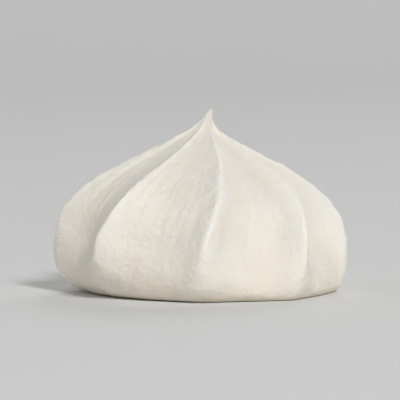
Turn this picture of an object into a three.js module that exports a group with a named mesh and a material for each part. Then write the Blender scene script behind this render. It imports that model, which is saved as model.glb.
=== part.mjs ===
// A piped meringue cookie: one star-shaped drop of dried egg-white foam, in millimetres, +Z up.
//
// The drop is deposited through an eight-pointed star nozzle. It spreads into a wide foot, climbs
// as eight thin ribs with broad hollow facets between them, and is pulled off into a small peak
// that leans over. The origin is on the flat resting face, on the axis of the nozzle.
import * as THREE from "three";

const { degToRad, smoothstep } = THREE.MathUtils;

// Driving dimensions.
const RIBS = 8; // points of the star nozzle
const CREST_RADIUS = 21.3; // axis to a rib's crest at the widest level
const HEIGHT = 26; // resting face to the top of the peak
const FOOT_HEIGHT = 7.5; // how high the foot's rounded edge reaches
const FOOT_TUCK = 4.8; // how far the foot turns in there
const PEAK_RADIUS = 1.25; // rounded end of the pulled peak
const PEAK_LEAN = 2.6; // how far the peak leans from the axis
const TWIST = degToRad(34); // turn of the ribs from foot to peak
const FRONT = degToRad(-90.5); // direction of the first rib at the foot
const LEAN_DIRECTION = degToRad(-20); // direction that the peak leans in

// Form of the drop and its ribs.
const SHOULDER = 4.4; // how square the shoulder is, as a power of the level
const RUN_OUT = 2.6; // how thin the drop runs out to the peak, as a power
const PEAK_END = 10; // how blunt the end of the peak is, as a power
const LATE_LEAN = 0.8; // share of the lean that comes at the peak
const LEAN_RISE = 6; // how late that share comes, as a power of the level
const LATE_TWIST = 0.7; // share of the twist that comes towards the peak
const TWIST_RISE = 3; // how late that share comes, as a power
const CREST_WIDTH = 0.045; // rounding of a crest near the peak, as a share of the ribs' spacing
const CREST_SOFTENING = 0.18; // what is added to that at the foot
const SOFTENING_FALL = 3.5; // how fast that fades up the ribs, as a power
const STEEP_FLANK = 0.065; // width of a rib's side that looks back down the swirl, as such a share
const GENTLE_FLANK = 0.14; // width of its other side
const FACET_SPREAD = 0.24; // width over which the facet beyond sinks
const RIB_SHARE = 0.75; // share of a facet's hollow that lies right beside its ribs
const FACET_DEPTH = 0.13; // hollow of a facet, as a share of the radius
const PEAK_DEPTH = 0.13; // what is added to that at the peak
const DEPTH_RISE = 4; // how late that comes, as a power
const FOOT_STAR = 0.2; // how much of the star is left at the foot, where the foam spreads
const STAR_LEVEL = 0.34; // level from which the star is full
const RIB_ENDS = [0.86, 0.99]; // levels between which the ribs run out into the peak

// Unevenness of the foam, in waves round the nozzle. Each has a size, a number of waves in a
// turn, a start and a drift from the foot to the peak, both in radians.
const LUMPS = [wave(0.03, 1, -0.3, 3), wave(0.014, 2, 0.9, 2.5), wave(0.01, 3, 5.1, -4)];
const UNEVEN_TUCK = [wave(0.6, 1, 3.3)];
const FOOT_LUMPS_LEVEL = 0.3; // level up to which the foot has lumps of its own
const FOOT_LUMPS = [wave(0.014, 4, 1.1), wave(0.011, 6, 2.9), wave(0.007, 11, 0.5)];
const UNEVEN_DEPTH = [wave(0.22, 2, 0.3), wave(0.14, 3, 4, 1)];
const STAGGER = [wave(0.02, 1, 3.5), wave(0.02, 2, 1.8, 1.5)];

// Fineness of the faceted surface.
const STEPS_PER_HALF_RIB = 7; // from a crest to the middle of a facet
const CREST_CROWDING = 1.5; // how much closer together the steps are at a crest, as a power
const LEVELS = 40; // rings from the foot to just under the peak
const END_CROWDING = 0.1; // how far rings move towards the foot and the peak

function wave(size, count, start, drift = 0) {
  return { size, count, start, drift };
}

// Sum of waves at a place round the nozzle and a level.
function sumOf(waves, angle, level) {
  const heights = waves.map((w) => w.size * Math.sin(w.count * angle + w.start + w.drift * level));
  return heights.reduce((sum, height) => sum + height, 0);
}

// Share of the full crest radius at a place round the nozzle and a share of the height: a fat
// drop that turns in under the foot and runs out into a thin peak with a round end.
function outline(angle, level) {
  const drop = (1 - level ** SHOULDER) ** RUN_OUT;
  const towardsFloor = Math.max(0, 1 - (level * HEIGHT) / FOOT_HEIGHT);
  const turnedIn = (FOOT_TUCK / CREST_RADIUS) * (1 + sumOf(UNEVEN_TUCK, angle, level));
  const tuck = turnedIn * (1 - Math.sqrt(1 - towardsFloor ** 2));
  const peak = (PEAK_RADIUS / CREST_RADIUS) * Math.sqrt(1 - level ** PEAK_END);
  return Math.hypot(drop * (1 - tuck), peak);
}

// Distance to the nearest crest, as a share of the spacing: 0 on a crest, 0.5 in the middle of a
// facet. It is eased so that a crest is a rounded edge, thin at the shoulder, softer at the foot.
function crestDistance(pastCrest, level) {
  const rounding = CREST_WIDTH + CREST_SOFTENING * (1 - level) ** SOFTENING_FALL;
  const ease = (distance) => Math.hypot(distance, rounding) - rounding;
  return (0.5 * ease(pastCrest)) / ease(0.5);
}

// Straight facets between the crests, as a share of the radius: 1 on a crest.
function facet(fromCrest) {
  const halfRib = Math.PI / RIBS;
  return Math.cos(halfRib) / Math.cos(halfRib * (1 - 2 * fromCrest));
}

// How far the surface has dropped off a thin rib: 0 on its crest, 1 in the middle of the facet.
// Part of the drop is right beside the rib, and the rest is spread over the facet.
function offRib(fromCrest, isSteepFlank) {
  const dropped = (width) => (1 - Math.exp(-fromCrest / width)) / (1 - Math.exp(-0.5 / width));
  const beside = dropped(isSteepFlank ? STEEP_FLANK : GENTLE_FLANK);
  return RIB_SHARE * beside + (1 - RIB_SHARE) * dropped(FACET_SPREAD);
}

// Share of the crest radius at a place round the nozzle. The star fades at the foot and the peak.
function section(angle, level) {
  const ribs = (angle * RIBS) / (2 * Math.PI);
  const pastCrest = ribs - Math.round(ribs);
  const fromCrest = crestDistance(pastCrest, level);
  const evenDepth = FACET_DEPTH + PEAK_DEPTH * level ** DEPTH_RISE;
  const depth = evenDepth * (1 + sumOf(UNEVEN_DEPTH, angle, level));
  const hollow = depth * offRib(fromCrest, pastCrest < 0);
  const grown = FOOT_STAR + (1 - FOOT_STAR) * smoothstep(level, 0, STAR_LEVEL);
  const faded = 1 - smoothstep(level, ...RIB_ENDS);
  return 1 + grown * faded * (facet(fromCrest) - 1 - hollow);
}

// A point of the surface: angle is the place round the nozzle, where the crests are evenly spaced
// from 0 on, and level the share of the height.
function surfacePoint(angle, level) {
  const nearFoot = 1 - smoothstep(level, 0, FOOT_LUMPS_LEVEL);
  const lumps = 1 + sumOf(LUMPS, angle, level) + nearFoot * sumOf(FOOT_LUMPS, angle, level);
  const radius = CREST_RADIUS * outline(angle, level) * section(angle, level) * lumps;
  const turn = TWIST * ((1 - LATE_TWIST) * level + LATE_TWIST * level ** TWIST_RISE);
  const direction = FRONT + angle + sumOf(STAGGER, angle, level) + turn;
  const lean = PEAK_LEAN * ((1 - LATE_LEAN) * level + LATE_LEAN * level ** LEAN_RISE);
  return new THREE.Vector3(
    lean * Math.cos(LEAN_DIRECTION) + radius * Math.cos(direction),
    lean * Math.sin(LEAN_DIRECTION) + radius * Math.sin(direction),
    HEIGHT * level,
  );
}

// Places round the nozzle, closer together near each crest.
function anglesRound() {
  const angles = [];
  for (let rib = 0; rib < RIBS; rib++)
    for (let step = -STEPS_PER_HALF_RIB; step < STEPS_PER_HALF_RIB; step++) {
      const share = Math.abs(step / STEPS_PER_HALF_RIB) ** CREST_CROWDING / 2;
      angles.push(((rib + Math.sign(step) * share) * 2 * Math.PI) / RIBS);
    }
  return angles;
}

// Levels from the foot upwards, closer together at the foot and at the peak.
function levelsUp() {
  const levels = [];
  for (let i = 0; i < LEVELS; i++) {
    const share = i / LEVELS;
    levels.push(share - END_CROWDING * Math.sin(2 * Math.PI * share));
  }
  return levels;
}

// The closed surface: rings joined by triangles, with the resting face as a fan about the axis
// and a fan over the top of the peak.
function meringueGeometry() {
  const angles = anglesRound();
  const levels = levelsUp();
  const points = levels.flatMap((level) => angles.map((angle) => surfacePoint(angle, level)));
  const base = points.push(new THREE.Vector3(0, 0, 0)) - 1;
  const top = points.push(surfacePoint(0, 1)) - 1;
  const count = angles.length;
  const lastRing = (levels.length - 1) * count;
  const triangles = [];
  for (let i = 0; i < count; i++) {
    const next = (i + 1) % count;
    triangles.push(base, next, i);
    for (let ring = 0; ring < lastRing; ring += count) {
      triangles.push(ring + i, ring + next, ring + count + next);
      triangles.push(ring + i, ring + count + next, ring + count + i);
    }
    triangles.push(lastRing + i, lastRing + next, top);
  }
  const geometry = new THREE.BufferGeometry().setFromPoints(points);
  geometry.setIndex(triangles);
  geometry.computeVertexNormals();
  return geometry;
}

const foam = new THREE.MeshStandardMaterial({ color: 0xf3ecdf, roughness: 0.85, metalness: 0 });
const meringue = new THREE.Mesh(meringueGeometry(), foam);
meringue.name = "meringue";

const cookie = new THREE.Group();
cookie.add(meringue);

export default cookie;
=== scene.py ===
"""A piped meringue cookie of dried egg-white foam, on a pale floor in soft studio light.

The cookie is one closed mesh. A Geometry Nodes tree grows it by the rule of a star nozzle: a
fat drop with eight thin ribs that swirl up to a leaning peak, closed by a flat underside. Its
relief follows what the foam went through: lumps, drag marks of the nozzle, torn crests and
burst bubbles. All lengths are in metres, +Z is up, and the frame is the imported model's.
"""

import logging
import math
from dataclasses import dataclass
from enum import Enum
from typing import Any

import bpy
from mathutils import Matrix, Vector


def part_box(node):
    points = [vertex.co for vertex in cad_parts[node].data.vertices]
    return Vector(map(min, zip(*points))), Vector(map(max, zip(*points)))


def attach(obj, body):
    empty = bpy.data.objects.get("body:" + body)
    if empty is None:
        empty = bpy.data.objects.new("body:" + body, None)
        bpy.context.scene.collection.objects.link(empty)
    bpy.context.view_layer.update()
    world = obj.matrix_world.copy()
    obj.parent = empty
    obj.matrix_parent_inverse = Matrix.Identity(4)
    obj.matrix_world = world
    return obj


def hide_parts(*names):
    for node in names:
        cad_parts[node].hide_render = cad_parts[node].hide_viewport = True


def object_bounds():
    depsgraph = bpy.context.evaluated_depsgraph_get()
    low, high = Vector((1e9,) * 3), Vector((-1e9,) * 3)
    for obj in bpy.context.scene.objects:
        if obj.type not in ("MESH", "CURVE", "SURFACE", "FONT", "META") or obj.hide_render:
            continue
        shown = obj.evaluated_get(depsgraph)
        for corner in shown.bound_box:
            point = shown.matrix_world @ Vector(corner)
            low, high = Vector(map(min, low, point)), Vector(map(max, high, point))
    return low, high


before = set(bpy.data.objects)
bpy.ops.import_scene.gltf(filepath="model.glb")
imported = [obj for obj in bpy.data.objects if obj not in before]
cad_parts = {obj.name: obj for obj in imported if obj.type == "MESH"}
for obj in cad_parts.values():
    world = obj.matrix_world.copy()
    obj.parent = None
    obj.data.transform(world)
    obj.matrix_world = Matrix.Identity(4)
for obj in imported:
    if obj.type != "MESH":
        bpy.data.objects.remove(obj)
CAD_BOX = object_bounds()

LOG = logging.getLogger("meringue")
MM = 0.001
TURN = 2 * math.pi
SPREAD = 21.3 / 26  # radius of the cookie's crests, as a share of its height
LIVELY = 0.6  # how strong each finer wave is, in relief and in colour

Colour = tuple[float, float, float]
Point = tuple[float, float, float]
Span = tuple[float, float]


# ---------------------------------------------------------------------------------------------
# Node trees written as expressions
# ---------------------------------------------------------------------------------------------


class Signal:
    """An output of a node, on which Python's arithmetic adds Math nodes."""

    def __init__(self, graph: "Graph", socket: bpy.types.NodeSocket) -> None:
        """Keeps the graph and the output in it.

        Args:
            graph: The graph that holds the node.
            socket: The node's output.
        """
        self.graph = graph
        self.socket = socket

    def other(self, name: str) -> "Signal":
        """Returns the named output of the same node."""
        return Signal(self.graph, self.socket.node.outputs[name])

    def math(self, operation: str, *others: "Operand") -> "Signal":
        """Adds a Math node, or a Vector Math node where an operand is a vector.

        Args:
            operation: The node's operation, such as "MAXIMUM".
            others: The operands after this one.

        Returns:
            The node's result.
        """
        return self.graph.math(operation, self, *others)

    def __add__(self, other: "Operand") -> "Signal":
        """Returns self + other."""
        return self.graph.math("ADD", self, other)

    def __radd__(self, other: "Operand") -> "Signal":
        """Returns other + self."""
        return self.graph.math("ADD", other, self)

    def __sub__(self, other: "Operand") -> "Signal":
        """Returns self - other."""
        return self.graph.math("SUBTRACT", self, other)

    def __rsub__(self, other: "Operand") -> "Signal":
        """Returns other - self."""
        return self.graph.math("SUBTRACT", other, self)

    def __mul__(self, other: "Operand") -> "Signal":
        """Multiplies two values or two vectors, or scales a vector.

        Args:
            other: A value or a vector; a value scales this where this is a vector.

        Returns:
            self * other.
        """
        if is_vector(self) and not is_vector(other):
            scaling = {"operation": "SCALE"}
            return self.graph.node("ShaderNodeVectorMath", scaling, {0: self, "Scale": other})
        return self.graph.math("MULTIPLY", self, other)

    def __rmul__(self, other: "Operand") -> "Signal":
        """Returns other * self."""
        return self * other

    def __truediv__(self, other: "Operand") -> "Signal":
        """Divides two values or two vectors, or a vector by a number.

        Args:
            other: What this is divided by.

        Returns:
            self / other.
        """
        if is_vector(self) and not isinstance(other, Signal):
            return self * (1 / other)
        return self.graph.math("DIVIDE", self, other)

    def __rtruediv__(self, other: "Operand") -> "Signal":
        """Returns other / self."""
        return self.graph.math("DIVIDE", other, self)

    def __pow__(self, other: "Operand") -> "Signal":
        """Returns self ** other."""
        return self.graph.math("POWER", self, other)

    def __neg__(self) -> "Signal":
        """Returns -self."""
        return self * -1.0

    def __abs__(self) -> "Signal":
        """Returns the size of self without its sign."""
        return self.math("ABSOLUTE")

    def __gt__(self, other: "Operand") -> "Signal":
        """Returns 1 where self > other, and 0 elsewhere."""
        return self.math("GREATER_THAN", other)

    def step(self, low: float, high: float) -> "Signal":
        """Eases from 0 where self is at low to 1 where it is at high.

        Args:
            low: The value that gives 0.
            high: The value that gives 1; it may be the smaller of the two.

        Returns:
            A smooth step, held at 0 and 1 outside.
        """
        smooth = {"interpolation_type": "SMOOTHSTEP"}
        ends = {"Value": self, "From Min": low, "From Max": high}
        return self.graph.node("ShaderNodeMapRange", smooth, ends)


Operand = Signal | float | int | tuple


def is_vector(operand: Operand) -> bool:
    """Tells whether an operand is a vector rather than a value.

    Args:
        operand: A signal, a number or a tuple.

    Returns:
        True for a vector signal and for a tuple.
    """
    if isinstance(operand, Signal):
        return operand.socket.type == "VECTOR"
    return isinstance(operand, tuple)


@dataclass(frozen=True)
class Pattern:
    """A random relief.

    width is that of its largest waves and height its usual height, both in metres, and
    finer_waves the number of finer and finer waves on them.
    """

    width: float
    height: float
    finer_waves: float = 1.0


@dataclass(frozen=True)
class Bubbles:
    """The round holes of burst bubbles.

    spacing is the usual distance between two holes, in metres. reach is the smallest and the
    largest radius, as shares of it, and bare the share of places that have no hole.
    """

    spacing: float
    reach: Span
    bare: float


class Graph:
    """A node tree that is written as expressions on signals."""

    def __init__(self, tree: bpy.types.NodeTree) -> None:
        """Wraps an empty tree.

        Args:
            tree: The tree to which all nodes are added.
        """
        self.tree = tree

    def node(
        self,
        kind: str,
        settings: dict[str, Any] | None = None,
        inputs: dict[int | str, Any] | None = None,
    ) -> Signal:
        """Adds a node.

        Args:
            kind: The node's type.
            settings: The node's own properties, set before its sockets are used.
            inputs: A value or a link for each socket, by name or by place among those in use.

        Returns:
            The first output in use.
        """
        node = self.tree.nodes.new(kind)
        for name, value in (settings or {}).items():
            setattr(node, name, value)
        for key, value in (inputs or {}).items():
            usable = [socket for socket in node.inputs if socket.enabled]
            socket = usable[key] if isinstance(key, int) else {s.name: s for s in usable}[key]
            if isinstance(value, Signal):
                self.tree.links.new(value.socket, socket)
            else:
                socket.default_value = value
        return Signal(self, next((s for s in node.outputs if s.enabled), None))

    def math(self, operation: str, *operands: Operand) -> Signal:
        """Adds a Math node, or a Vector Math node where an operand is a vector.

        Args:
            operation: The node's operation.
            operands: Values, vectors or signals, in the node's order.

        Returns:
            The node's result.
        """
        kind = "ShaderNodeVectorMath" if any(map(is_vector, operands)) else "ShaderNodeMath"
        return self.node(kind, {"operation": operation}, dict(enumerate(operands)))

    def sine(self, angle: Operand) -> Signal:
        """Returns the sine of an angle."""
        return self.math("SINE", angle)

    def cosine(self, angle: Operand) -> Signal:
        """Returns the cosine of an angle."""
        return self.math("COSINE", angle)

    def hypotenuse(self, a: Operand, b: Operand) -> Signal:
        """Returns the square root of a * a + b * b."""
        return (a * a + b * b) ** 0.5

    def vector(self, x: Operand, y: Operand, z: Operand) -> Signal:
        """Joins three values as a vector."""
        return self.node("ShaderNodeCombineXYZ", None, {"X": x, "Y": y, "Z": z})

    def noise(self, place: Signal, finer_waves: float = 1.0, strength: float = 0.5) -> Signal:
        """Adds smooth noise about 0, mostly between -0.5 and 0.5.

        Args:
            place: The vector at which it is read, in units of the largest wave.
            finer_waves: How many finer waves are added.
            strength: How strong each finer wave is, as a share of the one before.

        Returns:
            The noise.
        """
        waves = {"Vector": place, "Scale": 1.0, "Detail": finer_waves, "Roughness": strength}
        return self.node("ShaderNodeTexNoise", None, waves) - 0.5

    def relief(self, place: Signal, pattern: Pattern) -> Signal:
        """Gives the height of a random relief at a place.

        Args:
            place: The point, in metres.
            pattern: The relief's width, height and fineness.

        Returns:
            A height, mostly between minus and plus the pattern's.
        """
        waves = self.noise(place / pattern.width, pattern.finer_waves, LIVELY)
        return waves * (2 * pattern.height)

    def bubbles(self, place: Signal, holes: Bubbles) -> Signal:
        """Scatters round holes of burst bubbles, of which each has a size of its own.

        Args:
            place: The point, in metres.
            holes: How far apart, how wide and how rare the holes are.

        Returns:
            1 in the middle of a hole, easing to 0 at its edge.
        """
        scattering = {"Vector": place, "Scale": 1 / holes.spacing}
        cells = self.node("ShaderNodeTexVoronoi", None, scattering)
        pick = self.node("ShaderNodeSeparateXYZ", None, {0: cells.other("Color")})
        smallest, largest = holes.reach
        radius = smallest + (largest - smallest) * pick
        return (cells / radius).step(1.0, 0.0) * (pick.other("Y") > holes.bare)

    def blend(self, share: Operand, first: Operand, second: Operand) -> Signal:
        """Blends two colours.

        Args:
            share: How much of the second colour shows, from 0 to 1.
            first: A colour or a signal.
            second: A colour or a signal.

        Returns:
            The blended colour.
        """
        ends = [(*end, 1.0) if isinstance(end, tuple) else end for end in (first, second)]
        inputs = {"Factor": share, "A": ends[0], "B": ends[1]}
        return self.node("ShaderNodeMix", {"data_type": "RGBA"}, inputs)


class Growth(Graph):
    """A Geometry Nodes tree with named inputs for its sizes, which grows one mesh."""

    def __init__(self, name: str) -> None:
        """Starts a tree with a geometry output.

        Args:
            name: The tree's name.
        """
        super().__init__(bpy.data.node_groups.new(name, "GeometryNodeTree"))
        kind = "NodeSocketGeometry"
        self.tree.interface.new_socket("Geometry", in_out="OUTPUT", socket_type=kind)
        self.entry = self.tree.nodes.new("NodeGroupInput")
        self.values: dict[str, Any] = {}

    def size(self, name: str, value: Any, kind: str = "Float") -> Signal:
        """Adds a named input.

        Args:
            name: The input's name.
            value: Its value on the modifier.
            kind: The type of its socket.

        Returns:
            The input inside the tree.
        """
        interface = self.tree.interface
        socket = interface.new_socket(name, in_out="INPUT", socket_type=f"NodeSocket{kind}")
        self.values[socket.identifier] = value
        return Signal(self, self.entry.outputs[name])

    def attribute(self, geometry: Signal, name: str, value: Signal) -> Signal:
        """Stores a value on the points, for the finish to read.

        Args:
            geometry: The mesh.
            name: The attribute's name.
            value: What is stored.

        Returns:
            The mesh with the attribute.
        """
        kind = {"data_type": "FLOAT_VECTOR" if is_vector(value) else "FLOAT"}
        inputs = {"Geometry": geometry, "Name": name, "Value": value}
        return self.node("GeometryNodeStoreNamedAttribute", kind, inputs)

    def stored(self, name: str) -> Signal:
        """Reads a stored value."""
        inputs = {"Name": name}
        return self.node("GeometryNodeInputNamedAttribute", {"data_type": "FLOAT"}, inputs)

    def placed(self, geometry: Signal, position: Signal) -> Signal:
        """Moves all points to a position of their own."""
        inputs = {"Geometry": geometry, "Position": position}
        return self.node("GeometryNodeSetPosition", None, inputs)

    def raised(self, geometry: Signal, height: Signal) -> Signal:
        """Moves all points outwards by a height of their own."""
        inputs = {"Geometry": geometry, "Offset": self.node("GeometryNodeInputNormal") * height}
        return self.node("GeometryNodeSetPosition", None, inputs)

    def grow(self, geometry: Signal, material: bpy.types.Material, name: str) -> bpy.types.Object:
        """Ends the tree and turns its result into a plain mesh.

        Args:
            geometry: The finished geometry in the tree.
            material: The material that all faces get.
            name: The name of the new object.

        Returns:
            An object at the origin, with no modifier.
        """
        finish = self.size("Finish", material, "Material")
        geometry = self.node("GeometryNodeRealizeInstances", None, {"Geometry": geometry})
        dressing = {"Geometry": geometry, "Material": finish}
        geometry = self.node("GeometryNodeSetMaterial", None, dressing)
        self.node("NodeGroupOutput", None, {"Geometry": geometry})

        host = bpy.data.objects.new(name, bpy.data.meshes.new(name))
        bpy.context.scene.collection.objects.link(host)
        modifier = host.modifiers.new("Growth", "NODES")
        modifier.node_group = self.tree
        for identifier, value in self.values.items():
            modifier[identifier] = value
        depsgraph = bpy.context.evaluated_depsgraph_get()
        grown = bpy.data.meshes.new_from_object(
            host.evaluated_get(depsgraph), preserve_all_data_layers=True, depsgraph=depsgraph
        )
        host.modifiers.remove(modifier)
        host.data = grown
        grown.name = name
        return host


# ---------------------------------------------------------------------------------------------
# The form
# ---------------------------------------------------------------------------------------------


@dataclass(frozen=True)
class Wave:
    """A slow wave round the nozzle, by which foam is uneven.

    It has a size, a number of waves in a turn, a start and a drift from the foot to the peak,
    both in radians.
    """

    size: float
    count: int
    start: float
    drift: float = 0.0


@dataclass(frozen=True)
class Relief:
    """The relief that the foam's surface has from piping and drying.

    Levels are shares of the cookie's height, first the one at which a relief is absent or at its
    least, then the one at which it is full. Waves that follow the ribs are counted in a radian
    round the nozzle, and from the foot to the peak.
    """

    lumps: Pattern = Pattern(6.0 * MM, 0.22 * MM)
    ripples: Pattern = Pattern(2.6 * MM, 0.12 * MM, 2.0)
    torn_crest: Pattern = Pattern(1.9 * MM, 0.24 * MM, 2.0)
    foot_swells: Pattern = Pattern(7.0 * MM, 0.35 * MM)
    swell_levels: Span = (0.3, 0.05)

    drag_height: float = 0.17 * MM
    drag_waves: Span = (14.0, 3.0)
    drag_share: float = 0.5  # share of that height low on the cookie
    pulled_share: float = 0.9  # what is added to it where the nozzle pulled the foam up
    pulled_levels: Span = (0.25, 0.55)
    patch_share: float = 2.4  # how much it varies from patch to patch
    patch_width: float = 9.0 * MM
    patch_start: Point = (3.0, 2.0, 5.0)  # place in the noise, in patches

    fold_height: float = 0.10 * MM
    fold_waves: Span = (3.0, 22.0)
    fold_share: float = 0.25  # share of that height above the foot
    fold_levels: Span = (0.3, 0.1)

    dimples: Bubbles = Bubbles(3.2 * MM, (0.12, 0.26), 0.5)
    dimple_depth: float = 0.20 * MM
    small_dimples: Bubbles = Bubbles(1.9 * MM, (0.12, 0.26), 0.6)
    small_dimple_depth: float = 0.12 * MM

    imprint: Pattern = Pattern(1.6 * MM, 0.12 * MM, 3.0)  # the baking sheet's, on the underside
    imprint_share: float = 0.4  # share of its height by which it is deeper all over
    imprint_rim: float = 0.9  # share of the way to the underside's rim where it starts to fade


@dataclass
class PipedMeringue:
    """The cookie: a star-shaped drop of foam, pulled off into a small peak.

    Lengths are in metres, and angles in radians. Levels are shares of the height. Widths at a
    crest are shares of the spacing between two ribs, and depths are shares of the radius.
    """

    height: float
    crest_radius: float  # axis to a rib's crest at the widest level
    foot_height: float = 7.5 * MM  # how high the foot's rounded edge reaches
    foot_tuck: float = 4.8 * MM  # how far the foot turns in there
    peak_radius: float = 1.25 * MM  # rounded end of the pulled peak

    peak_lean: float = 2.6 * MM  # how far the peak leans from the axis
    late_lean: float = 0.8  # share of the lean that comes at the peak
    lean_rise: float = 6.0  # how late that share comes, as a power of the level
    lean_direction: float = math.radians(-20)

    ribs: int = 8  # points of the star nozzle
    front: float = math.radians(-90.5)  # direction of the first rib at the foot
    twist: float = math.radians(34)  # turn of the ribs from foot to peak
    late_twist: float = 0.7  # share of the twist that comes towards the peak
    twist_rise: float = 3.0  # how late that share comes, as a power

    shoulder: float = 4.4  # how square the shoulder is, as a power of the level
    run_out: float = 2.6  # how thin the drop runs out to the peak, as a power
    peak_end: float = 10.0  # how blunt the end of the peak is, as a power

    crest_width: float = 0.045  # rounding of a crest near the peak
    crest_softening: float = 0.18  # what is added to that at the foot
    softening_fall: float = 3.5  # how fast that fades up the ribs, as a power
    steep_flank: float = 0.065  # width of a rib's side that looks back down the swirl
    gentle_flank: float = 0.14  # width of its other side
    facet_spread: float = 0.24  # width over which the facet beyond sinks
    rib_share: float = 0.75  # share of a facet's hollow that lies right beside its ribs
    facet_depth: float = 0.13  # hollow of a facet
    peak_depth: float = 0.13  # what is added to that at the peak
    depth_rise: float = 4.0  # how late that comes, as a power
    foot_star: float = 0.2  # how much of the star is left at the foot, where the foam spreads
    star_level: float = 0.34  # level from which the star is full
    rib_ends: Span = (0.86, 0.99)  # levels between which the ribs run out into the peak
    bright_width: float = 0.1  # width of the edge that is torn and bright, where the finish paints a highlight

    lumps: tuple[Wave, ...] = (
        Wave(0.03, 1, -0.3, 3.0),
        Wave(0.014, 2, 0.9, 2.5),
        Wave(0.01, 3, 5.1, -4.0),
    )
    uneven_tuck: tuple[Wave, ...] = (Wave(0.6, 1, 3.3),)
    foot_lumps: tuple[Wave, ...] = (
        Wave(0.014, 4, 1.1),
        Wave(0.011, 6, 2.9),
        Wave(0.007, 11, 0.5),
    )
    foot_lumps_level: float = 0.3  # level up to which the foot has lumps of its own
    uneven_depth: tuple[Wave, ...] = (Wave(0.22, 2, 0.3), Wave(0.14, 3, 4.0, 1.0))
    stagger: tuple[Wave, ...] = (Wave(0.02, 1, 3.5), Wave(0.02, 2, 1.8, 1.5))
    wander: float = 0.045  # how far a crest strays from side to side on its way up
    wander_waves: Span = (2.0, 5.0)  # counted as those of the relief are
    relief: Relief = Relief()

    steps_per_rib: int = 64
    crest_crowding: float = 1.25  # how much closer together the steps are at a crest, as a power
    wall_rows: int = 168
    row_shifts: Span = (0.0975, 0.0216)  # slow and quick wave that crowd the rows above the shoulder
    under_rows: int = 24
    wall_edge: float = 0.04  # share of the wall's rows over which it takes over from the underside
    weld: float = 0.012 * MM  # distance within which points are one

    @classmethod
    def in_frame(cls, node: str) -> "PipedMeringue":
        """Takes the cookie's size from its solid.

        Args:
            node: The name of the solid's node.

        Returns:
            A cookie of the same height and spread.
        """
        low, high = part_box(node)
        height = high[2] - low[2]
        return cls(height=height, crest_radius=SPREAD * height)

    def build(self, finish: bpy.types.Material) -> bpy.types.Object:
        """Grows the cookie's mesh.

        Args:
            finish: The material of the dried foam.

        Returns:
            The finished object.
        """
        form = DropForm(self)
        mesh, spot = form.sheet()
        position = form.position(spot)
        streaks = form.along_ribs(spot, self.relief.drag_waves)
        crest = form.crest(spot)
        attributes = {
            "crest": crest,
            "level": spot.level,
            "wall": spot.wall,
            "streaks": streaks,
            "relief": form.surface_relief(spot, position, streaks, crest),
        }

        mesh = form.placed(mesh, position)
        for name, value in attributes.items():
            mesh = form.attribute(mesh, name, value)
        welding = {"Geometry": mesh, "Distance": self.weld}
        mesh = form.node("GeometryNodeMergeByDistance", None, welding)
        mesh = form.raised(mesh, form.stored("relief"))
        mesh = form.on_floor(mesh)
        mesh = form.node("GeometryNodeSetShadeSmooth", None, {"Geometry": mesh})
        return form.grow(mesh, finish, "meringue_foam")


@dataclass(frozen=True)
class Spot:
    """Where a point of the sheet goes, before the form is worked out.

    angle is the place round the nozzle in radians, past_crest the distance past the nearest
    crest as a share of the spacing, and level the share of the height. inward is the share of
    the way from the underside's middle to its rim, and wall is 0 on the underside and 1 above.
    """

    angle: Signal
    past_crest: Signal
    level: Signal
    inward: Signal
    wall: Signal


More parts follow.
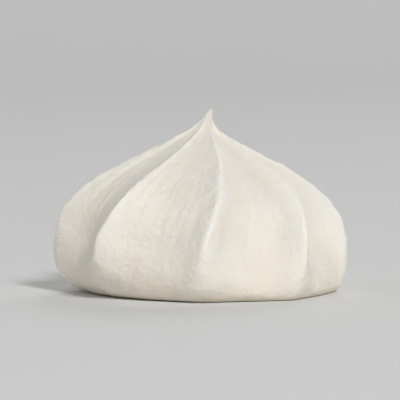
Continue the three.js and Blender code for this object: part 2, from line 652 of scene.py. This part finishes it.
class DropForm(Growth):
    """The tree that grows the drop, with a named input for each of its main sizes."""

    def __init__(self, cookie: PipedMeringue) -> None:
        """Starts the tree and adds its inputs.

        Args:
            cookie: The cookie whose sizes the inputs get.
        """
        super().__init__("Drop form")
        self.cookie = cookie
        self.height = self.size("Height", cookie.height)
        self.crest_radius = self.size("Crest radius", cookie.crest_radius)
        self.foot_height = self.size("Foot height", cookie.foot_height)
        self.foot_tuck = self.size("Foot tuck", cookie.foot_tuck)
        self.peak_radius = self.size("Peak radius", cookie.peak_radius)
        self.peak_lean = self.size("Peak lean", cookie.peak_lean)
        self.twist = self.size("Twist", cookie.twist)

    def sheet(self) -> tuple[Signal, Spot]:
        """Lays out the sheet that wraps the drop.

        Returns:
            A flat grid, and where each of its points goes. A column runs up one line of the
            star, closer together at the crests, and the first rows run out over the underside.
        """
        cookie = self.cookie
        columns = cookie.ribs * cookie.steps_per_rib + 1
        rows = cookie.under_rows + cookie.wall_rows + 1
        grid = {"Size X": 1.0, "Size Y": 1.0, "Vertices X": columns, "Vertices Y": rows}
        mesh = self.node("GeometryNodeMeshGrid", None, grid)
        place = self.node("ShaderNodeSeparateXYZ", None, {0: mesh.other("UV Map")})

        ribs = place * cookie.ribs
        nearest = ribs.math("ROUND")
        even = (ribs - nearest) * 2
        past_crest = even.math("SIGN") * abs(even) ** cookie.crest_crowding * 0.5
        angle = (nearest + past_crest) * (TURN / cookie.ribs)

        row = place.other("Y") * (rows - 1)
        inward = (row / cookie.under_rows).math("MINIMUM", 1)
        rise = ((row - cookie.under_rows) / cookie.wall_rows).math("MAXIMUM", 0)
        slow, quick = cookie.row_shifts
        shift = slow * self.sine(math.pi * rise) - quick * self.sine(3 * math.pi * rise)
        wall = rise.step(0.0, cookie.wall_edge)
        return mesh, Spot(angle, past_crest, rise + shift, inward, wall)

    def waves(self, waves: tuple[Wave, ...], spot: Spot) -> Signal:
        """Adds up waves.

        Args:
            waves: The waves.
            spot: Where on the drop.

        Returns:
            Their sum there.
        """
        sizes = [
            wave.size * self.sine(wave.count * spot.angle + wave.start + wave.drift * spot.level)
            for wave in waves
        ]
        return sum(sizes[1:], sizes[0])

    def outline(self, spot: Spot) -> Signal:
        """Gives the crest radius as a share of the largest.

        Args:
            spot: Where on the drop.

        Returns:
            A fat drop that turns in at the foot and ends in a thin round peak.
        """
        cookie, level = self.cookie, spot.level
        drop = (1 - level**cookie.shoulder) ** cookie.run_out
        towards_floor = (1 - level * self.height / self.foot_height).math("MAXIMUM", 0)
        turned_in = self.foot_tuck / self.crest_radius * (1 + self.waves(cookie.uneven_tuck, spot))
        tuck = turned_in * (1 - (1 - towards_floor**2) ** 0.5)
        peak = self.peak_radius / self.crest_radius * (1 - level**cookie.peak_end) ** 0.5
        return self.hypotenuse(drop * (1 - tuck), peak)

    def section(self, spot: Spot) -> Signal:
        """Gives the star's radius as a share of the crest radius.

        Args:
            spot: Where on the drop.

        Returns:
            1 on a crest, and less over the hollow facets between.
        """
        cookie, level = self.cookie, spot.level
        softening = cookie.crest_softening * (1 - level) ** cookie.softening_fall
        rounding = cookie.crest_width + softening
        eased = (self.hypotenuse(spot.past_crest, rounding) - rounding) * 0.5
        from_crest = eased / (self.hypotenuse(rounding, 0.5) - rounding)
        half_rib = math.pi / cookie.ribs
        facet = math.cos(half_rib) / self.cosine(half_rib * (1 - 2 * from_crest))

        gentler = (spot.past_crest > 0) * (cookie.gentle_flank - cookie.steep_flank)
        beside = self.dropped(from_crest, cookie.steep_flank + gentler)
        spread = self.dropped(from_crest, cookie.facet_spread)
        off_rib = cookie.rib_share * beside + (1 - cookie.rib_share) * spread
        depth = cookie.facet_depth + cookie.peak_depth * level**cookie.depth_rise
        hollow = depth * (1 + self.waves(cookie.uneven_depth, spot)) * off_rib
        grown = cookie.foot_star + (1 - cookie.foot_star) * level.step(0.0, cookie.star_level)
        return 1 + grown * self.peak_fade(level) * (facet - 1 - hollow)

    def dropped(self, from_crest: Signal, width: Operand) -> Signal:
        """Gives how far a hollow has sunk beside a crest.

        Args:
            from_crest: The eased distance from the crest, as a share of the spacing.
            width: The width over which the hollow sinks, as such a share.

        Returns:
            0 on the crest and 1 in the middle of the facet.
        """
        here, middle = (1 - self.math("EXPONENT", -(d / width)) for d in (from_crest, 0.5))
        return here / middle

    def peak_fade(self, level: Signal) -> Signal:
        """Gives 1 over most of the height, fading to 0 on the peak, where no ribs are left."""
        start, end = self.cookie.rib_ends
        return level.step(end, start)

    def crest(self, spot: Spot) -> Signal:
        """Gives 1 on a crest, fading to 0 beside it and on the peak."""
        fading = self.math("EXPONENT", -((spot.past_crest / self.cookie.bright_width) ** 2))
        return fading * self.peak_fade(spot.level)

    def position(self, spot: Spot) -> Signal:
        """Places a point on the drop, with the foam's slow unevenness but no relief.

        Args:
            spot: Where on the drop.

        Returns:
            The point.
        """
        cookie, level = self.cookie, spot.level
        at_foot = level.step(cookie.foot_lumps_level, 0.0)
        foot_lumps = self.waves(cookie.foot_lumps, spot) * at_foot
        lumps = 1 + self.waves(cookie.lumps, spot) + foot_lumps
        radius = self.crest_radius * self.outline(spot) * self.section(spot) * lumps
        radius = radius * spot.inward

        late_turn = cookie.late_twist * level**cookie.twist_rise
        turn = self.twist * ((1 - cookie.late_twist) * level + late_turn)
        strays = self.noise(self.along_ribs(spot, cookie.wander_waves))
        wander = strays * spot.wall * cookie.wander
        direction = cookie.front + spot.angle + self.waves(cookie.stagger, spot) + turn + wander

        at_peak = cookie.late_lean * level**cookie.lean_rise
        lean = self.peak_lean * ((1 - cookie.late_lean) * level + at_peak)
        return self.vector(
            lean * math.cos(cookie.lean_direction) + radius * self.cosine(direction),
            lean * math.sin(cookie.lean_direction) + radius * self.sine(direction),
            self.height * level,
        )

    def on_floor(self, geometry: Signal) -> Signal:
        """Lifts the points that the relief took below the floor."""
        here = self.node("GeometryNodeInputPosition")
        return self.placed(geometry, here.math("MAXIMUM", (-1.0, -1.0, 0.0)))

    def along_ribs(self, spot: Spot, waves: Span) -> Signal:
        """Gives a place for patterns that follow the ribs.

        Args:
            spot: Where on the drop.
            waves: How many waves a pattern has in a radian round the nozzle, and how many from
                the foot to the peak.

        Returns:
            A vector that closes on itself round the nozzle.
        """
        across, along = waves
        ring = self.cosine(spot.angle) * across, self.sine(spot.angle) * across
        return self.vector(*ring, spot.level * along)

    def surface_relief(
        self, spot: Spot, position: Signal, streaks: Signal, crest: Signal
    ) -> Signal:
        """Adds up the relief along the surface's normal.

        Args:
            spot: Where on the drop.
            position: The point of the smooth form there.
            streaks: A place that hardly changes along a rib, for marks that follow it.
            crest: 1 on a crest, fading to 0 beside it.

        Returns:
            The height over the smooth form.
        """
        sizes = self.cookie.relief
        at_foot = spot.level.step(*sizes.swell_levels)
        sides = self.relief(position, sizes.lumps) + self.relief(position, sizes.ripples)
        sides = sides + self.relief(position, sizes.torn_crest) * crest
        sides = sides + self.relief(position, sizes.foot_swells) * at_foot
        sides = sides + self.drag_marks(spot, position, streaks)
        sides = sides + self.folds(spot)
        sides = sides - self.bubbles(position, sizes.dimples) * sizes.dimple_depth
        sides = sides - self.bubbles(position, sizes.small_dimples) * sizes.small_dimple_depth
        return sides * spot.wall + self.imprint(spot, position) * (1 - spot.wall)

    def drag_marks(self, spot: Spot, position: Signal, streaks: Signal) -> Signal:
        """Gives the marks that the nozzle dragged up along the ribs.

        Args:
            spot: Where on the drop.
            position: The point of the smooth form there.
            streaks: A place that hardly changes along a rib.

        Returns:
            Their height, which varies in patches and shrinks with the drop's radius.
        """
        sizes = self.cookie.relief
        pulled = spot.level.step(*sizes.pulled_levels)
        patches = self.noise(position / sizes.patch_width + sizes.patch_start)
        share = sizes.drag_share + sizes.pulled_share * pulled + sizes.patch_share * patches
        return self.noise(streaks) * (2 * sizes.drag_height) * self.outline(spot) * share

    def folds(self, spot: Spot) -> Signal:
        """Gives the low folds across the ribs, by which the foam settled on itself.

        Args:
            spot: Where on the drop.

        Returns:
            Their height, full at the foot and faint above.
        """
        sizes = self.cookie.relief
        at_foot = spot.level.step(*sizes.fold_levels)
        share = sizes.fold_share + (1 - sizes.fold_share) * at_foot
        return self.noise(self.along_ribs(spot, sizes.fold_waves)) * (2 * sizes.fold_height) * share

    def imprint(self, spot: Spot, position: Signal) -> Signal:
        """Gives the dents that the baking sheet left in the underside.

        Args:
            spot: Where on the drop.
            position: The point of the smooth form there.

        Returns:
            Their height, which is never above 0 and is 0 at the rim.
        """
        sizes = self.cookie.relief
        dents = self.relief(position, sizes.imprint) + sizes.imprint_share * sizes.imprint.height
        return -dents.math("MAXIMUM", 0) * spot.inward.step(1.0, sizes.imprint_rim)


# ---------------------------------------------------------------------------------------------
# The finishes
# ---------------------------------------------------------------------------------------------


def blank_material(name: str) -> tuple[bpy.types.Material, Graph]:
    """Makes a material with no nodes.

    Args:
        name: The material's name.

    Returns:
        The material, and the graph to which its nodes are added.
    """
    material = bpy.data.materials.new(name)
    material.use_nodes = True
    material.node_tree.nodes.clear()
    return material, Graph(material.node_tree)


@dataclass(frozen=True)
class Skin:
    """What a finish can read at a point of the cookie.

    place is the point in object coordinates, and the rest are the mesh's attributes.
    """

    place: Signal
    streaks: Signal
    crest: Signal
    level: Signal
    wall: Signal
    relief: Signal

    @classmethod
    def read_in(cls, graph: Graph) -> "Skin":
        """Adds the nodes that read the surface.

        Args:
            graph: The material's graph.

        Returns:
            Their outputs.
        """

        def read(name: str, output: str = "Fac") -> Signal:
            """Reads an attribute of the mesh."""
            return graph.node("ShaderNodeAttribute", {"attribute_name": name}).other(output)

        return cls(
            place=graph.node("ShaderNodeTexCoord").other("Object"),
            streaks=read("streaks", "Vector"),
            crest=read("crest"),
            level=read("level"),
            wall=read("wall"),
            relief=read("relief"),
        )


@dataclass(frozen=True)
class DriedFoam:
    """Baked egg-white foam: a matt, slightly translucent sugar crust."""

    body: Colour = (0.86, 0.797, 0.703)
    bright: Colour = (0.95, 0.922, 0.864)
    # cream is the warm tint towards the foot, and the colour of the painted shade in pits and
    # hollows
    cream: Colour = (0.80, 0.72, 0.58)
    toast: Colour = (0.74, 0.62, 0.45)

    mottle_width: float = 5.0 * MM
    mottle_waves: float = 3.0  # finer waves on the mottling
    brightness: float = 0.35  # share of the bright colour all over
    mottling: float = 0.8  # how much that varies
    foot_cream: float = 0.35  # share of cream at the foot
    foot_level: float = 0.35  # share of the height up to which the foot has some
    pit_shade: float = 0.2  # painted shade: share of cream in a pit
    hollow_shade_depth: float = 1.7 * MM  # painted shade: how deep a hollow of the relief would be all cream
    crest_painted_highlight: float = 0.65  # painted highlight: share of the bright colour on a crest
    painted_highlight_at_foot: float = 0.4  # share of that painted highlight which is left at the foot
    crest_highlight_levels: Span = (0.05, 0.4)  # shares of the height between which the painted highlight grows
    toasting: float = 0.45  # share of toast on the underside

    roughness: float = 0.62
    uneven_roughness: float = 0.12
    crest_polish: float = 0.05  # how much less rough a crest is
    refraction: float = 1.42
    translucency: float = 0.5
    scatter: float = 0.7 * MM
    scatter_reach: Colour = (1.0, 0.75, 0.5)  # how far red, green and blue go, as shares of it

    grain: Pattern = Pattern(0.35 * MM, 0.035 * MM, 3.0)
    crust: Pattern = Pattern(0.9 * MM, 0.11 * MM, 4.0)
    silk_height: float = 0.03 * MM  # of the fine streaks between the drag marks
    silk_fineness: float = 2.2  # streaks for each drag mark
    silk_waves: float = 2.0  # finer waves on them
    pits: Bubbles = Bubbles(1.5 * MM, (0.07, 0.19), 0.5)
    small_pits: Bubbles = Bubbles(0.8 * MM, (0.07, 0.19), 0.6)
    small_pit_share: float = 0.7  # how deep those are, and how much painted shade they get, beside the larger ones
    pit_depth: float = 0.09 * MM

    def material(self) -> bpy.types.Material:
        """Builds the material.

        Returns:
            A procedural material that reads object coordinates and the cookie's attributes.
        """
        material, graph = blank_material("dried_foam")
        skin = Skin.read_in(graph)
        mottle = graph.noise(skin.place / self.mottle_width, self.mottle_waves, LIVELY)
        pits = graph.bubbles(skin.place, self.pits)
        pits = pits + self.small_pit_share * graph.bubbles(skin.place, self.small_pits)
        polish = self.crest_polish * skin.crest
        bump = {"Strength": 1.0, "Distance": 1.0, "Height": self.fine_relief(graph, skin, pits)}
        shader = graph.node(
            "ShaderNodeBsdfPrincipled",
            {"subsurface_method": "RANDOM_WALK"},
            {
                "Base Color": self.colour(graph, skin, mottle, pits),
                "Roughness": self.roughness + self.uneven_roughness * mottle - polish,
                "IOR": self.refraction,
                "Normal": graph.node("ShaderNodeBump", None, bump),
                "Subsurface Weight": self.translucency,
                "Subsurface Radius": self.scatter_reach,
                "Subsurface Scale": self.scatter,
            },
        )
        graph.node("ShaderNodeOutputMaterial", None, {"Surface": shader})
        return material

    def colour(self, graph: Graph, skin: Skin, mottle: Signal, pits: Signal) -> Signal:
        """Colours the crust.

        Args:
            graph: The material's graph.
            skin: The surface.
            mottle: Noise about 0 by which the colour varies.
            pits: 1 in the middle of a pit and 0 outside.

        Returns:
            Warm white, with a painted highlight that brightens the crests, creamier at the foot,
            with painted shade in the hollows and pits, and toasted underneath.
        """
        at_foot = skin.level.step(self.foot_level, 0.0)
        # painted shade: sunken hollows of the relief are made creamier, standing for the shade in
        # them
        painted_hollow_shade = -(skin.relief / self.hollow_shade_depth)
        # painted shade: pits get cream as well, standing for the shadow inside them
        cream_and_shade = (self.foot_cream * at_foot + self.pit_shade * pits + painted_hollow_shade).math("MAXIMUM", 0)
        up_crest = skin.level.step(*self.crest_highlight_levels)
        share = self.painted_highlight_at_foot + (1 - self.painted_highlight_at_foot) * up_crest

        colour = graph.blend(self.brightness + self.mottling * mottle, self.body, self.bright)
        colour = graph.blend(cream_and_shade, colour, self.cream)
        # painted highlight: the crests are made lighter in colour, as if light caught them
        colour = graph.blend(self.crest_painted_highlight * skin.crest * share, colour, self.bright)
        return graph.blend((1 - skin.wall) * (self.toasting + mottle), colour, self.toast)

    def fine_relief(self, graph: Graph, skin: Skin, pits: Signal) -> Signal:
        """Adds up the relief that is too fine for the mesh.

        Args:
            graph: The material's graph.
            skin: The surface.
            pits: 1 in the middle of a pit and 0 outside.

        Returns:
            Its height.
        """
        crust = graph.relief(skin.place, self.grain) + graph.relief(skin.place, self.crust)
        silk = graph.noise(skin.streaks * self.silk_fineness, self.silk_waves, LIVELY) * skin.wall
        return crust + silk * (2 * self.silk_height) - pits * self.pit_depth


@dataclass(frozen=True)
class PaleFloor:
    """The matt, pale grey of the floor."""

    colour: Colour = (0.77, 0.77, 0.765)
    roughness: float = 0.8
    gloss: float = 0.2

    def material(self) -> bpy.types.Material:
        """Builds the material.

        Returns:
            A plain material.
        """
        material, graph = blank_material("pale_floor")
        look = {
            "Base Color": (*self.colour, 1.0),
            "Roughness": self.roughness,
            "Specular IOR Level": self.gloss,
        }
        shader = graph.node("ShaderNodeBsdfPrincipled", None, look)
        graph.node("ShaderNodeOutputMaterial", None, {"Surface": shader})
        return material


# ---------------------------------------------------------------------------------------------
# The studio
# ---------------------------------------------------------------------------------------------


@dataclass
class Floor:
    """A round floor whose rim sweeps up as a backdrop."""

    radius: float = 1.4
    rings: int = 48
    steps: int = 96
    sweep_start: float = 0.5  # share of the radius from which the floor rises
    sweep: float = 1.6  # how fast it rises from there

    def build(self, finish: bpy.types.Material) -> bpy.types.Object:
        """Makes the floor.

        Args:
            finish: The floor's material.

        Returns:
            The floor, with its middle at the origin.
        """
        mesh = bpy.data.meshes.new("floor")
        mesh.from_pydata(self.points(), [], self.faces())
        mesh.shade_smooth()
        mesh.materials.append(finish)
        floor = bpy.data.objects.new("floor", mesh)
        bpy.context.scene.collection.objects.link(floor)
        return floor

    def points(self) -> list[Point]:
        """Lists the floor's points.

        Returns:
            The middle, then ring after ring outwards.
        """
        points: list[Point] = [(0.0, 0.0, 0.0)]
        for ring in range(1, self.rings + 1):
            share = ring / self.rings
            radius = self.radius * share
            rise = max(0.0, share - self.sweep_start) ** 2 * self.radius * self.sweep
            for step in range(self.steps):
                angle = TURN * step / self.steps
                points.append((radius * math.cos(angle), radius * math.sin(angle), rise))
        return points

    def faces(self) -> list[tuple[int, ...]]:
        """Lists the floor's faces.

        Returns:
            A fan about the middle, and four-sided faces from ring to ring.
        """
        faces: list[tuple[int, ...]] = []
        for step in range(self.steps):
            after = (step + 1) % self.steps
            faces.append((0, 1 + step, 1 + after))
            for ring in range(self.rings - 1):
                inner = 1 + ring * self.steps
                outer = inner + self.steps
                faces.append((inner + step, outer + step, outer + after, inner + after))
        return faces


@dataclass(frozen=True)
class SoftLight:
    """A square area light: its direction from the target, its width and its power.

    azimuth is in degrees round from the front, positive to the right, and elevation in degrees
    above the horizon.
    """

    azimuth: float
    elevation: float
    width: float
    power: float


class Softbox(Enum):
    """The studio's lights."""

    KEY = SoftLight(23.0, 35.0, 0.6, 54.0)
    FILL = SoftLight(-95.0, 20.0, 1.4, 23.0)
    TOP = SoftLight(-10.0, 86.0, 2.4, 4.0)
    BACK = SoftLight(165.0, 30.0, 1.6, 26.0)


@dataclass
class Studio:
    """The pale floor, the soft lights and the camera."""

    target: Vector
    azimuth: float = 0.0  # of the camera, in degrees
    elevation: float = 4.0
    distance: float = 0.60
    lens: float = 380.0  # in millimetres, as the sensor is
    sensor: float = 36.0
    clip: Span = (0.01, 10.0)
    light_distance: float = 3.0
    ambient: float = 0.14  # strength of the light from all round

    def build(self) -> None:
        """Makes the floor, the lights and the camera."""
        floor = Floor().build(PaleFloor().material())
        for softbox in Softbox:
            self.light(softbox)
        self.world()
        self.camera()
        bpy.context.scene.view_settings.view_transform = "Standard"

    def aim(
        self, item: bpy.types.Object, azimuth: float, elevation: float, distance: float
    ) -> None:
        """Adds a light or a camera to the scene, facing the target.

        Args:
            item: The light or the camera.
            azimuth: Degrees round from the front; positive is to the right.
            elevation: Degrees above the horizon.
            distance: How far it is from the target.
        """
        round_by, up_by = math.radians(azimuth), math.radians(elevation)
        outward = Vector((
            math.sin(round_by) * math.cos(up_by),
            -math.cos(round_by) * math.cos(up_by),
            math.sin(up_by),
        ))
        item.location = self.target + outward * distance
        item.rotation_euler = outward.to_track_quat("Z", "Y").to_euler()
        bpy.context.scene.collection.objects.link(item)

    def light(self, softbox: Softbox) -> None:
        """Adds one of the lights.

        Args:
            softbox: Which light.
        """
        sizes = softbox.value
        data = bpy.data.lights.new(softbox.name.lower(), "AREA")
        data.shape = "SQUARE"
        data.size = sizes.width
        data.energy = sizes.power
        lamp = bpy.data.objects.new(data.name, data)
        self.aim(lamp, sizes.azimuth, sizes.elevation, self.light_distance)

    def world(self) -> None:
        """Lights the scene evenly from all round."""
        world = bpy.data.worlds.new("studio")
        world.use_nodes = True
        background = world.node_tree.nodes["Background"]
        background.inputs["Color"].default_value = (1.0, 1.0, 1.0, 1.0)
        background.inputs["Strength"].default_value = self.ambient
        bpy.context.scene.world = world

    def camera(self) -> None:
        """Places the camera and makes it the scene's."""
        data = bpy.data.cameras.new("camera")
        data.lens = self.lens
        data.sensor_width = self.sensor
        data.clip_start, data.clip_end = self.clip
        camera = bpy.data.objects.new("camera", data)
        self.aim(camera, self.azimuth, self.elevation, self.distance)
        bpy.context.scene.camera = camera


def main() -> None:
    """Builds the cookie and the studio, and reports each piece."""
    logging.basicConfig(level=logging.INFO, format="%(name)s: %(message)s")
    cookie = PipedMeringue.in_frame("meringue").build(DriedFoam().material())
    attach(cookie, "root")
    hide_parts("meringue")
    LOG.info("%s: %d faces", cookie.name, len(cookie.data.polygons))

    low, high = CAD_BOX
    Studio(target=(low + high) / 2).build()
    LOG.info("studio: floor, %d lights and camera", len(Softbox))


if __name__ == "__main__":
    main()
